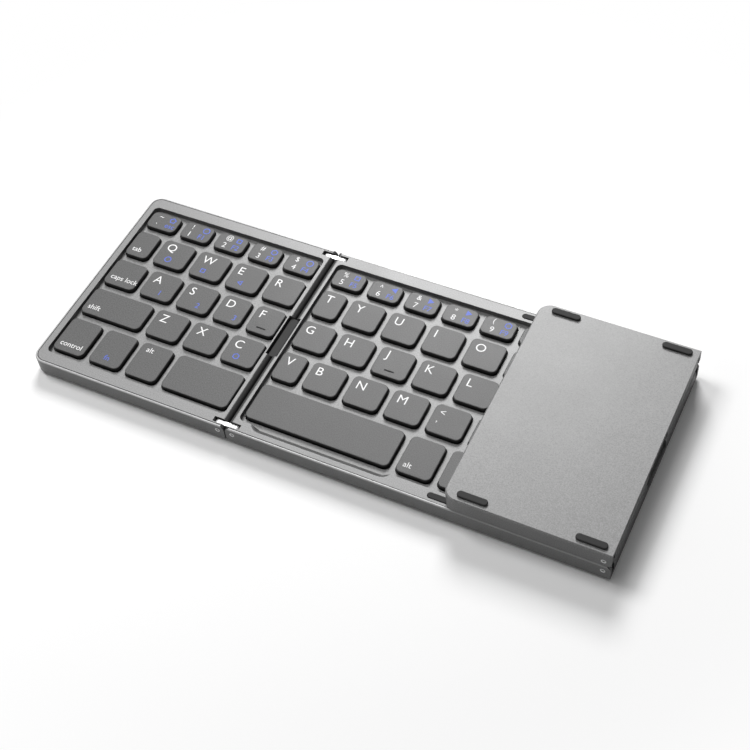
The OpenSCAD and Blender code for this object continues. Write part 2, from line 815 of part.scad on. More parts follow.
module main_circuit_board() {
    color("darkgreen") on_main() circuit_board(main_width, false);
}

module main_dome_sheet() {
    color("dimgray") on_main() dome_sheet(main_width, false, main_keys);
}

module main_feet() {
    color("#2e2e2e") on_main() feet(main_width, false);
}

module rim_bumpers() {
    color("#2e2e2e") on_main() bumper_places() linear_extrude(bumper_seat + bumper_proud)
        pill(bumper_length, bumper_width);
}

module main_case_screws() {
    color("gray") on_main() case_screws(main_width, false);
}

module main_hinge_pins() {
    color("silver") on_main() both_hinge_edges() hinge_pins();
}

// ---------------------------------------------------------------- left panel

module left_bottom_shell() {
    color("#8e8f92") on_left() bottom_shell(left_width, true);
}

module left_key_frame() {
    color("#b9babd") on_left() difference() {
        frame_blank(left_width, true, web_bottom);
        key_well(hinge_rim, left_width - side_rim, left_keys);
    }
}

module left_circuit_board() {
    color("darkgreen") on_left() circuit_board(left_width, true);
}

module left_dome_sheet() {
    color("dimgray") on_left() dome_sheet(left_width, true, left_keys);
}

module left_feet() {
    color("#2e2e2e") on_left() feet(left_width, true);
}

module left_case_screws() {
    color("gray") on_left() case_screws(left_width, true);
}

module left_hinge_pins() {
    color("silver") on_left() hinge_pins();
}

// ---------------------------------------------------------------- touchpad panel

module touchpad_bottom_shell() {
    color("#a9aaad") on_touchpad() bottom_shell(touchpad_width, true);
}

module touchpad_frame() {
    color("#b9babd") on_touchpad() difference() {
        frame_blank(touchpad_width, true, pad_bottom);
        translate([pad_x0 - pad_clearance, pad_y0 - pad_clearance, pad_bottom - over])
            linear_extrude(panel_thickness) rounded_rectangle(
                pad_x1 - pad_x0 + 2 * pad_clearance, pad_length + 2 * pad_clearance, well_corner);
        for (x = [pad_x0, pad_x0 + button_width + button_gap])
            translate([x - pad_clearance, button_y0 - pad_clearance, pad_bottom - over])
                linear_extrude(panel_thickness) rounded_rectangle(
                    button_width + 2 * pad_clearance, button_length + 2 * pad_clearance,
                    key_corner / 2 + pad_clearance);
    }
}

module touchpad_surface() {
    color("#8b8c90") on_touchpad() translate([pad_x0, pad_y0, pad_bottom])
        linear_extrude(pad_thickness)
            rounded_rectangle(pad_x1 - pad_x0, pad_length, well_corner - pad_clearance);
}

// The sensor's board, cut back where the cable comes in, with the cable's connector behind the cut.
module touchpad_board() {
    color("darkgreen") on_touchpad() {
        translate([0, 0, pad_bottom - sensor_thickness]) linear_extrude(sensor_thickness)
            difference() {
                translate([pad_x0 - sensor_ledge, button_y0 - sensor_ledge])
                    square([pad_x1 - pad_x0 + 2 * sensor_ledge,
                            pad_y1 - button_y0 + 2 * sensor_ledge]);
                translate([0, panel_depth / 2 - cable_width / 2 - cable_clearance])
                    square([cable_reach, cable_width + 2 * cable_clearance]);
            }
        translate([cable_reach, panel_depth / 2 - cable_width / 2 + connector_inset, cable_bottom])
            cube([connector_length, cable_width - 2 * connector_inset, pad_bottom - cable_bottom]);
    }
}

module click_button(x) {
    color("#7d7d7f") on_touchpad() translate([x, button_y0, 0]) {
        top = panel_thickness - pad_drop;
        translate([0, 0, top - button_thickness]) linear_extrude(button_thickness)
            rounded_rectangle(button_width, button_length, key_corner / 2);
        translate([button_width / 2, button_length / 2, plunger_bottom])
            cylinder(h = top - button_thickness - plunger_bottom + small_step, r = stem_radius);
    }
}

module left_click_button() {
    click_button(pad_x0);
}

module right_click_button() {
    click_button(pad_x0 + button_width + button_gap);
}

module battery() {
    color("slategray") on_touchpad()
        translate([cable_reach + connector_length + battery_gap,
                   (panel_depth - battery_length) / 2, shell_floor])
            linear_extrude(battery_thickness)
                rounded_rectangle(battery_width, battery_length, battery_corner);
}

module touchpad_feet() {
    color("#2e2e2e") on_touchpad() feet(touchpad_width, true);
}

module touchpad_case_screws() {
    color("gray") on_touchpad() case_screws(touchpad_width, true);
}

module touchpad_hinge_pins() {
    color("silver") on_touchpad() hinge_pins();
}

// ---------------------------------------------------------------- hinges

module left_hinge_links() {
    color("white") on_main() front_and_rear()
        translate([-seam_gap - pin_inset, 0, pin_z]) link_plate();
}

module right_hinge_links() {
    color("white") on_main() front_and_rear()
        translate([main_width - pin_inset, 0, pin_z]) rotate([0, -90, 0]) link_plate();
}

module left_flex_cable() {
    color("#222222") on_main() cable_band() translate([-seam_gap / 2, 0]) open_cable_section();
}

module right_flex_cable() {
    color("#222222") on_main() cable_band() folded_cable_section();
}

// ---------------------------------------------------------------- nodes

main_bottom_shell();
main_key_frame();
main_circuit_board();
main_dome_sheet();
charging_socket();
main_feet();
rim_bumpers();
main_case_screws();
main_hinge_pins();
left_bottom_shell();
left_key_frame();
left_circuit_board();
left_dome_sheet();
left_feet();
left_case_screws();
left_hinge_pins();
touchpad_bottom_shell();
touchpad_frame();
touchpad_surface();
touchpad_board();
left_click_button();
right_click_button();
battery();
touchpad_feet();
touchpad_case_screws();
touchpad_hinge_pins();
left_hinge_links();
right_hinge_links();
left_flex_cable();
right_flex_cable();
for (key = LEFT_KEYS)
    left_key_cap(key[1], key[2], key[3]);
for (group = MAIN_KEY_GROUPS)
    main_key_group(group[1], group[2]);
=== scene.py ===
"""Looks of the folding keyboard: softened pieces, printed keys, paints, studio and camera."""

import json
import logging
import math
from dataclasses import dataclass, field
from enum import Enum
from typing import Callable, Iterable, Protocol, Union

import bmesh
import bpy
from mathutils import Matrix, Vector

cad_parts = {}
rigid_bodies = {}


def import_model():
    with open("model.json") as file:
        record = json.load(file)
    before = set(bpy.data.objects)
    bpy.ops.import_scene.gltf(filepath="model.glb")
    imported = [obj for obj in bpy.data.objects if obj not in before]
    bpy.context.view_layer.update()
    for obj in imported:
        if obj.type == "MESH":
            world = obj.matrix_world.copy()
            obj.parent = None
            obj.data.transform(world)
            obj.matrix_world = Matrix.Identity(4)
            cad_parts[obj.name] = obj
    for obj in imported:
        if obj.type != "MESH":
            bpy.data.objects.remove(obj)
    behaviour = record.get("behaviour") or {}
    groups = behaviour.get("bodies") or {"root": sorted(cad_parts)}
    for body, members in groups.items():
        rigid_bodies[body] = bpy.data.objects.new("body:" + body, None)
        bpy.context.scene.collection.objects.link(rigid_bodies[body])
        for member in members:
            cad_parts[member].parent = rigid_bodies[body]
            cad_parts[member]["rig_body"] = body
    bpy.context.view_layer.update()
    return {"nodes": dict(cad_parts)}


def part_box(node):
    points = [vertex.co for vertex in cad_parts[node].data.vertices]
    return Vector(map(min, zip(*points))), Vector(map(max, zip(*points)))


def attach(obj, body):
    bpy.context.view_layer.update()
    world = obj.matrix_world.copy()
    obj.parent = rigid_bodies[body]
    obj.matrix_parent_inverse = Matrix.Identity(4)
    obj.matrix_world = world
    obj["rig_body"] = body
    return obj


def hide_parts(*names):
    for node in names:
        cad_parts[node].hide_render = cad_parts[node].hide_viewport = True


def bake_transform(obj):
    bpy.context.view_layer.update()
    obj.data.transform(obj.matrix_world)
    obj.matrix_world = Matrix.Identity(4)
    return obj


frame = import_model()

log = logging.getLogger("keyboard")

MM = 0.001
SQUARE = 0.99  # a face is square to an axis where its normal's part along it is above this
ALONG = 0.1    # and it lies along the axis where that part is below this
TOUCH = 0.01   # heights that differ by less than this are the same, in mm
WELD = 0.002   # corners of a solid that lie closer than this are one, in mm
FLAT = 0.4     # faces of a solid that meet at less than this are one, in degrees
SMOOTH = 38.0  # faces that meet at less than this are shaded as one, in degrees
LEAD = 100     # how far the larger face leads in an edge's shading, of 100

Colour = tuple[float, float, float]
Box = tuple[Vector, Vector]
Value = Union["Wire", float]
EdgeTest = Callable[[bmesh.types.BMEdge], bool]
Line = Callable[[float], Vector]


def grey(level: float) -> Colour:
    """A neutral colour of that level, between 0 and 1."""
    return (level, level, level)


# ---------------------------------------------------------------- finishes


class Wire:
    """A value in a material's node tree, which Python's operators extend with Math nodes."""

    def __init__(self, tree: bpy.types.NodeTree, socket: bpy.types.NodeSocket) -> None:
        """Wraps an output socket of a tree."""
        self.tree = tree
        self.socket = socket

    def _math(self, operation: str, first: Value, second: Value) -> "Wire":
        """Adds a Math node.

        Args:
            operation: the node's operation.
            first: its first value.
            second: its second value.

        Returns:
            The node's result.
        """
        node = self.tree.nodes.new("ShaderNodeMath")
        node.operation = operation
        for socket, value in zip(node.inputs, (first, second)):
            if isinstance(value, Wire):
                self.tree.links.new(value.socket, socket)
            else:
                socket.default_value = value
        return Wire(self.tree, node.outputs[0])

    def __add__(self, other: Value) -> "Wire":
        """This value plus another."""
        return self._math("ADD", self, other)

    def __radd__(self, other: Value) -> "Wire":
        """Another value plus this one."""
        return self._math("ADD", other, self)

    def __sub__(self, other: Value) -> "Wire":
        """This value less another."""
        return self._math("SUBTRACT", self, other)

    def __rsub__(self, other: Value) -> "Wire":
        """Another value less this one."""
        return self._math("SUBTRACT", other, self)

    def __mul__(self, other: Value) -> "Wire":
        """This value times another."""
        return self._math("MULTIPLY", self, other)

    def __rmul__(self, other: Value) -> "Wire":
        """Another value times this one."""
        return self._math("MULTIPLY", other, self)

    def highest(self, other: Value) -> "Wire":
        """The larger of this value and another."""
        return self._math("MAXIMUM", self, other)


class Recipe:
    """A material while its nodes are put together."""

    def __init__(self, name: str) -> None:
        """Starts an empty material.

        Args:
            name: the material's name.
        """
        self.material = bpy.data.materials.new(name)
        self.material.use_nodes = True
        self.tree = self.material.node_tree
        self.tree.nodes.clear()

    def node(self, kind: str, settings: dict, inputs: dict) -> bpy.types.Node:
        """Adds a node.

        Args:
            kind: the node's type.
            settings: its attributes, which are set first, with a ramp's places and colours
                under "stops".
            inputs: values or wires for its sockets, by name or number.

        Returns:
            The new node.
        """
        made = self.tree.nodes.new(kind)
        for key, value in settings.items():
            if key == "stops":
                for stop, (place, colour) in zip(made.color_ramp.elements, value):
                    stop.position, stop.color = place, (*colour, 1.0)
            else:
                setattr(made, key, value)
        for key, value in inputs.items():
            if isinstance(value, Wire):
                self.tree.links.new(value.socket, made.inputs[key])
            else:
                made.inputs[key].default_value = value
        return made

    def wire(self, kind: str, settings: dict, inputs: dict, output: Union[str, int] = 0) -> Wire:
        """Adds a node and returns one of its outputs.

        Args:
            kind: the node's type.
            settings: its attributes.
            inputs: values or wires for its sockets.
            output: the output's name or number.

        Returns:
            The output.
        """
        return Wire(self.tree, self.node(kind, settings, inputs).outputs[output])

    def mix(self, factor: Value, first: Colour, second: Colour) -> Wire:
        """A colour between two others.

        Args:
            factor: 0 for the first and 1 for the second.
            first: a colour.
            second: a colour.

        Returns:
            The mixed colour.
        """
        # a Mix node's factor and its two colours are inputs 0, 6 and 7, and its colour output 2
        sockets = {0: factor, 6: (*first, 1.0), 7: (*second, 1.0)}
        return self.wire("ShaderNodeMix", {"data_type": "RGBA"}, sockets, 2)

    def place(self) -> Wire:
        """Where a point lies in the object's own frame."""
        return self.wire("ShaderNodeTexCoord", {}, {}, "Object")

    def surface(self, shader: bpy.types.Node) -> bpy.types.Material:
        """Connects a shader to the output.

        Args:
            shader: the shader's node.

        Returns:
            The finished material.
        """
        output = self.node("ShaderNodeOutputMaterial", {}, {})
        self.tree.links.new(shader.outputs[0], output.inputs["Surface"])
        return self.material


GRAIN_DETAIL = 2.0   # octaves of a finish's grain
PATCHES = 60.0       # wide patches of gloss in a finish, per metre
PATCH_SPREAD = 0.06  # how far they shift its roughness


@dataclass(frozen=True)
class Finish:
    """A finish with a fine grain in its colour, its gloss and its relief.

    Attributes:
        name: what it is.
        colour: its colour.
        roughness: its mean roughness.
        metallic: 1 for metal and 0 for the rest.
        grain: size of a grain, in mm.
        tint: share by which the grain lightens and darkens the colour.
        spread: how far the grain shifts the roughness.
        relief: depth of the grain, in mm.
        coat: weight of a clear coat.
    """

    name: str
    colour: Colour
    roughness: float
    metallic: float = 0.0
    grain: float = 0.3
    tint: float = 0.0
    spread: float = 0.0
    relief: float = 0.0
    coat: float = 0.0

    def shade(self, level: float) -> Colour:
        """The colour made lighter or darker by that share."""
        return tuple(min(1.0, part * level) for part in self.colour)

    def tone(self, recipe: Recipe, place: Wire, grain: Wire) -> Wire:
        """The colour over the surface.

        Args:
            recipe: the material.
            place: where a point lies.
            grain: the grain's value there.

        Returns:
            The colour.
        """
        return recipe.mix(grain, self.shade(1 - self.tint), self.shade(1 + self.tint))

    def material(self) -> bpy.types.Material:
        """Makes the finish's material once.

        Returns:
            The material.
        """
        known = bpy.data.materials.get(self.name)
        if known:
            return known
        recipe = Recipe(self.name)
        place = recipe.place()
        sockets = {"Vector": place, "Scale": 1 / (self.grain * MM), "Detail": GRAIN_DETAIL}
        grain = recipe.wire("ShaderNodeTexNoise", {}, sockets, "Fac")
        sockets = {"Vector": place, "Scale": PATCHES}
        patches = recipe.wire("ShaderNodeTexNoise", {}, sockets, "Fac")
        colour = self.tone(recipe, place, grain)
        gloss = self.roughness + (grain - 0.5) * self.spread + (patches - 0.5) * PATCH_SPREAD
        inputs = {
            "Base Color": colour,
            "Metallic": self.metallic,
            "Roughness": gloss,
            "Coat Weight": self.coat,
        }
        if self.relief:
            sockets = {"Height": grain, "Distance": self.relief * MM}
            inputs["Normal"] = recipe.wire("ShaderNodeBump", {}, sockets)
        return recipe.surface(recipe.node("ShaderNodeBsdfPrincipled", {}, inputs))


@dataclass(frozen=True)
class BoardFinish(Finish):
    """The lacquer of a circuit board, with lighter tracks on it.

    Attributes:
        track: the tracks' colour.
        pitch: their distance, in mm.
        shore: where in a cell the lacquer ends and the track starts, as parts of the pitch.
    """

    track: Colour = (0.05, 0.3, 0.12)
    pitch: float = 2.4
    shore: tuple[float, float] = (0.42, 0.46)

    def tone(self, recipe: Recipe, place: Wire, grain: Wire) -> Wire:
        """The lacquer's colour, crossed by the tracks.

        Args:
            recipe: the material.
            place: where a point lies.
            grain: the grain's value there.

        Returns:
            The colour.
        """
        settings = {"feature": "F1", "distance": "CHEBYCHEV"}
        sockets = {"Vector": place, "Scale": 1 / (self.pitch * MM)}
        cells = recipe.wire("ShaderNodeTexVoronoi", settings, sockets, "Distance")
        stops = {"stops": [(self.shore[0], grey(0)), (self.shore[1], grey(1))]}
        tracks = recipe.wire("ShaderNodeValToRGB", stops, {0: cells}, 0)
        return recipe.mix(tracks, self.colour, self.track)


SHELL_PAINT = Finish(
    "shell_paint", grey(0.22), roughness=0.45, metallic=0.25, grain=0.4, tint=0.55, spread=0.2,
    relief=0.014,
)
FRAME_PAINT = Finish(
    "frame_paint", grey(0.21), roughness=0.47, metallic=0.5, grain=0.4, tint=0.55, spread=0.2,
    relief=0.014,
)
# Painted shade: a more metallic copy of the frame paint for sloped faces below the frame's top,
# such as the thumb recess, so that they look darker.
RECESS_SHADE_PAINT = Finish(
    "recess_painted_shade", grey(0.20), roughness=0.45, metallic=0.85, grain=0.5, tint=0.55, spread=0.2,
    relief=0.014,
)
# Uncoated metal on the tray's rim and chamfer, made lighter as a painted highlight; the touchpad's
# rim, which lies in shade, keeps the paint.
BARE_EDGE_AND_HIGHLIGHT = Finish(
    "bare_edge_and_highlight", grey(0.45), roughness=0.40, metallic=0.3, grain=0.4, tint=0.1, spread=0.1,
)
# Painted shade: near-black for the link plates' pockets, the line where the frame meets the tray,
# and the homing bars on the keys.
POCKET_SHADE = Finish("pocket", grey(0.010), roughness=0.8)
# Painted shade: near-black for the rounded hinge edges along a seam, which look dark for the dim
# room they face.
HINGE_EDGE_SHADE = Finish(
    "hinge_edge_painted_shade", grey(0.040), roughness=0.45, grain=0.4, tint=0.3, spread=0.1, relief=0.006,
)
KEY_TOP = Finish(
    "key_top", grey(0.078), roughness=0.45, grain=0.45, tint=0.9, spread=0.5, relief=0.035,
)
KEY_SIDE = Finish("key_side", grey(0.010), roughness=0.35, grain=0.4, tint=0.2, spread=0.1)
RUBBER = Finish("rubber", grey(0.008), roughness=0.7, tint=0.2, spread=0.1, relief=0.01)
DOME_RUBBER = Finish("dome_rubber", grey(0.006), roughness=0.8)
CHROME = Finish(
    "chrome", grey(0.92), roughness=0.30, metallic=0.6, grain=0.6, tint=0.02, spread=0.08,
)
# Pin heads: a near-white ring as a painted highlight, and a darker recess inside it as painted
# shade.
PIN_RING_HIGHLIGHT = Finish(
    "pin_ring", grey(0.95), roughness=0.35, metallic=0.3, grain=0.4, tint=0.05, spread=0.1,
)
PIN_RECESS_SHADE = Finish("pin_recess_shade", grey(0.18), roughness=0.5, metallic=0.6)
STEEL = Finish("steel", grey(0.45), roughness=0.32, metallic=1.0, grain=0.4, tint=0.05, spread=0.1)
SLEEVE = Finish("sleeve", grey(0.040), roughness=0.85, tint=0.3, spread=0.05, relief=0.02)
TOUCH_SATIN = Finish(
    "touch_satin", grey(0.10), roughness=0.36, grain=0.2, tint=0.05, spread=0.05, relief=0.002,
)
WRAP = Finish(
    "battery_wrap", (0.16, 0.20, 0.27), roughness=0.35, metallic=0.6, grain=3.0, tint=0.10,
    spread=0.1,
)
BOARD = BoardFinish(
    "board", (0.01, 0.09, 0.035), roughness=0.4, grain=0.6, tint=0.1, spread=0.05, coat=0.5,
)
WHITE_PRINT = Finish("white_print", grey(0.88), roughness=0.5)
BLUE_PRINT = Finish("blue_print", (0.07, 0.13, 0.62), roughness=0.5)


# ---------------------------------------------------------------- pieces


def mesh_of(shape: bmesh.types.BMesh, name: str) -> bpy.types.Mesh:
    """Closes a bmesh into a mesh.

    Args:
        shape: the bmesh, which can't be used after this.
        name: the mesh's name.

    Returns:
        The mesh.
    """
    mesh = bpy.data.meshes.new(name)
    shape.to_mesh(mesh)
    shape.free()
    return mesh


def put(name: str, data: bpy.types.ID) -> bpy.types.Object:
    """Puts a mesh, a lamp or a camera in the scene.

    Args:
        name: the new object's name.
        data: what the object shows.

    Returns:
        The object.
    """
    made = bpy.data.objects.new(name, data)
    bpy.context.scene.collection.objects.link(made)
    return made


def box_of(vertices: Iterable[bmesh.types.BMVert]) -> Box:
    """The box around some vertices.

    Args:
        vertices: the vertices.

    Returns:
        Its lowest and its highest corner.
    """
    points = [vertex.co for vertex in vertices]
    low = Vector([min(point[axis] for point in points) for axis in range(3)])
    high = Vector([max(point[axis] for point in points) for axis in range(3)])
    return low, high


class Blank:
    """A piece in the making, as an open bmesh."""

    def __init__(self) -> None:
        """Starts with nothing."""
        self.shape = bmesh.new()

    @classmethod
    def of(cls, node: str) -> "Blank":
        """A merged copy of a solid of the frame.

        Args:
            node: the solid's name.

        Returns:
            The copy, with its flat faces joined.
        """
        blank = cls()
        shape = blank.shape
        shape.from_mesh(frame["nodes"][node].data)
        bmesh.ops.remove_doubles(shape, verts=shape.verts, dist=WELD * MM)
        bmesh.ops.dissolve_limit(
            shape, angle_limit=math.radians(FLAT), use_dissolve_boundaries=False,
            verts=shape.verts, edges=shape.edges, delimit={"NORMAL"},
        )
        shape.normal_update()
        return blank

    def corners(self, least: float, where: EdgeTest) -> list[bmesh.types.BMEdge]:
        """The outward edges that are sharper than an angle.

        Args:
            least: the angle between two faces, in degrees.
            where: a further test of an edge.

        Returns:
            The edges.
        """
        return [
            edge for edge in self.shape.edges
            if len(edge.link_faces) == 2 and edge.is_convex
            and edge.calc_face_angle(0) > math.radians(least) and where(edge)
        ]

    def soften(
        self, width: float, segments: int = 2, least: float = 25,
        where: EdgeTest = lambda edge: True,
    ) -> "Blank":
        """Rounds the outward edges.

        Args:
            width: the rounding's width, in mm.
            segments: its steps.
            least: the least angle of an edge, in degrees.
            where: a further test of an edge.

        Returns:
            This blank.
        """
        edges = self.corners(least, where)
        bmesh.ops.bevel(
            self.shape, geom=edges, offset=width * MM, offset_type="OFFSET", segments=segments,
            profile=0.5, affect="EDGES", clamp_overlap=False, material=-1,
        )
        self.shape.normal_update()
        return self

    def paint(self, choice: Callable[[bmesh.types.BMFace], int]) -> "Blank":
        """Gives each face its finish.

        Args:
            choice: the number of a face's finish.

        Returns:
            This blank.
        """
        for face in self.shape.faces:
            face.material_index = choice(face)
        return self

    def islands(self) -> list[Box]:
        """Finds the separate solids.

        Returns:
            Their boxes, from rear to front and from left to right.
        """
        found: list[Box] = []
        left = set(self.shape.verts)
        while left:
            island, fresh = set(), [left.pop()]
            while fresh:
                vertex = fresh.pop()
                island.add(vertex)
                for edge in vertex.link_edges:
                    other = edge.other_vert(vertex)
                    if other in left:
                        left.remove(other)
                        fresh.append(other)
            found.append(box_of(island))
        return sorted(found, key=lambda box: (-round(box[1].y / MM), box[0].x))

    def release(
        self, name: str, finishes: list[Finish], smooth: float = SMOOTH,
    ) -> bpy.types.Object:
        """Closes the bmesh into an object of the scene.

        Args:
            name: the piece's name.
            finishes: its finishes, in the order of the faces' numbers.
            smooth: the angle below which its faces are shaded as one, in degrees.

        Returns:
            The object.
        """
        mesh = mesh_of(self.shape, name)
        for finish in finishes:
            mesh.materials.append(finish.material())
        for polygon in mesh.polygons:
            polygon.use_smooth = True
        mesh.set_sharp_from_angle(angle=math.radians(smooth))
        piece = put(name, mesh)
        steady = piece.modifiers.new("steady_shading", "WEIGHTED_NORMAL")
        steady.mode, steady.weight, steady.keep_sharp = "FACE_AREA", LEAD, True
        log.info("%s: %d faces", name, len(mesh.polygons))
        return piece


def body_of(node: str) -> str:
    """The moving body that a solid belongs to."""
    return frame["nodes"][node]["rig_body"]


def dress(
    node: str, blank: Blank, finishes: list[Finish], smooth: float = SMOOTH,
) -> None:
    """Puts a finished piece in a solid's place.

    Args:
        node: the solid that it stands for.
        blank: the piece.
        finishes: its finishes.
        smooth: the angle below which its faces are shaded as one, in degrees.
    """
    piece = blank.release(f"{node}_finished", finishes, smooth)
    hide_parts(node)
    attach(piece, body_of(node))


def carry_over(node: str, finish: Finish) -> None:
    """Shows a solid as it is, in a finish.

    Args:
        node: the solid's name.
        finish: its finish.
    """
    solid = frame["nodes"][node]
    solid.data.materials.clear()
    solid.data.materials.append(finish.material())
    log.info("%s: as it is", node)


# ---------------------------------------------------------------- printed signs


class Ink(Enum):
    """The inks on the keys, by their place among a print's finishes."""

    WHITE = 0
    BLUE = 1


@dataclass(frozen=True)
class Mark:
    """A sign printed on a key.

    Attributes:
        sign: the text.
        height: height of a capital, in mm.
        left: distance from the key's left side, in mm.
        up: distance of its middle from the key's front side, or if negative from its rear, in mm.
        ink: its ink.
    """

    sign: str
    height: float
    left: float
    up: float
    ink: Ink = Ink.WHITE


@dataclass(frozen=True)
class Shape(Mark):
    """A plain shape printed on a key, as an outline or full.

    Attributes:
        sides: number of its sides.
        turn: how far it is turned, in degrees.
        full: whether it is full.
    """

    sides: int = 4
    turn: float = 0.0
    full: bool = False


class Press:
    """Prints marks as thin shapes that lie on the keys."""

    lift = 0.004      # between a key and the underside of its print, in mm
    thickness = 0.02  # of the print, in mm
    line = 0.13       # width of an outline's lines, as a share of the shape's height
    steps = 4         # of a letter's curves
    weld = 0.001      # points of a letter that lie closer than this are one, in mm

    def __init__(self) -> None:
        """Measures the built-in lettering."""
        probe = self._letters("H", 1.0)
        low, high = box_of(probe.verts)
        self.capital = high.y - low.y
        probe.free()

    def _letters(self, text: str, size: float) -> bmesh.types.BMesh:
        """Some text as a thin solid, lying flat.

        Args:
            text: what it says.
            size: the lettering's size, in metres.

        Returns:
            The solid.
        """
        curve = bpy.data.curves.new("sign", "FONT")
        curve.body, curve.size, curve.resolution_u = text, size, self.steps
        curve.extrude = self.thickness * MM / 2
        holder = bpy.data.objects.new("sign", curve)
        mesh = bpy.data.meshes.new_from_object(holder)
        solid = bmesh.new()
        solid.from_mesh(mesh)
        bmesh.ops.remove_doubles(solid, verts=solid.verts, dist=self.weld * MM)
        bpy.data.objects.remove(holder)
        bpy.data.curves.remove(curve)
        bpy.data.meshes.remove(mesh)
        return solid

    def _outline(self, mark: Shape) -> bmesh.types.BMesh:
        """A plain shape as a thin solid, lying flat.

        Args:
            mark: the shape.

        Returns:
            The solid.
        """
        solid = bmesh.new()
        bmesh.ops.create_circle(
            solid, cap_ends=True, segments=mark.sides, radius=mark.height * MM / 2,
            matrix=Matrix.Rotation(math.radians(mark.turn), 4, "Z"),
        )
        if not mark.full:
            middle = solid.faces[:]
            bmesh.ops.inset_individual(
                solid, faces=middle, thickness=mark.height * MM * self.line, use_even_offset=True,
            )
            bmesh.ops.delete(solid, geom=middle, context="FACES")
        flat = solid.faces[:]
        made = bmesh.ops.extrude_face_region(solid, geom=flat)
        raised = [item for item in made["geom"] if isinstance(item, bmesh.types.BMVert)]
        bmesh.ops.translate(solid, verts=raised, vec=(0, 0, self.thickness * MM))
        bmesh.ops.recalc_face_normals(solid, faces=solid.faces)
        return solid

    def print(self, blank: Blank, key: Box, mark: Mark) -> None:
        """Adds a mark to a print.

        Args:
            blank: the print.
            key: the key's box.
            mark: the mark.
        """
        if isinstance(mark, Shape):
            solid = self._outline(mark)
        else:
            solid = self._letters(mark.sign, mark.height * MM / self.capital)
        low, high = box_of(solid.verts)
        edge = key[0].y if mark.up > 0 else key[1].y
        place = Vector((
            key[0].x + mark.left * MM - low.x,
            edge + mark.up * MM - (low.y + high.y) / 2,
            key[1].z + self.lift * MM - low.z,
        ))
        bmesh.ops.translate(solid, verts=solid.verts, vec=place)
        for face in solid.faces:
            face.material_index = mark.ink.value
        mesh = mesh_of(solid, "mark")
        blank.shape.from_mesh(mesh)
        bpy.data.meshes.remove(mesh)


ROUND = 24         # sides of a round shape
WORD_HEIGHT = 2.3  # of a capital in the name of a key, in mm


def letter(sign: str) -> list[Mark]:
    """The print of a letter key."""
    return [Mark(sign, height=3.75, left=2.6, up=-4.0)]


def pair(upper: str, lower: str) -> list[Mark]:
    """The print of a key with two signs."""
    return [Mark(sign, height=2.7, left=2.6, up=up) for sign, up in ((upper, -3.6), (lower, -8.4))]


def word(sign: str, ink: Ink = Ink.WHITE, left: float = 2.1) -> list[Mark]:
    """The print of a key that is named in words."""
    return [Mark(sign, WORD_HEIGHT, left, up=3.8, ink=ink)]


def number(upper: str, lower: str, second: str, sides: int, turn: float = 0) -> list[Mark]:
    """The print of a number key.

    Args:
        upper: the shifted sign.
        lower: the digit or plain sign.
        second: the blue name of its second use.
        sides: number of sides of the blue shape above that.
        turn: how far that shape is turned, in degrees.

    Returns:
        The marks.
    """
    return [
        Mark(upper, height=2.3, left=3.6, up=-2.2),
        Mark(lower, height=2.6, left=3.7, up=2.6),
        Mark(second, height=2.4, left=8.2, up=2.6, ink=Ink.BLUE),
        Shape("", height=3.2, left=8.6, up=-2.4, ink=Ink.BLUE, sides=sides, turn=turn,
              full=sides == 3),
    ]


def paired(sign: str, second: str) -> list[Mark]:
    """The print of a letter key with a blue number for its second use."""
    return letter(sign) + [Mark(second, height=2.5, left=8.3, up=3.4, ink=Ink.BLUE)]


def shaped(sign: str, sides: int, turn: float = 0) -> list[Mark]:
    """The print of a letter key with a blue shape for its second use.

    Args:
        sign: the letter.
        sides: number of sides of the shape.
        turn: how far it is turned, in degrees.

    Returns:
        The marks.
    """
    blue = Shape("", height=3.0, left=4.6, up=3.6, ink=Ink.BLUE, sides=sides, turn=turn)
    return letter(sign) + [blue]


def arrow(turn: float) -> list[Mark]:
    """The print of an arrow key, turned by so many degrees from pointing rearwards."""
    return [Shape("", height=3.4, left=5.4, up=8.0, sides=3, turn=turn, full=True)]


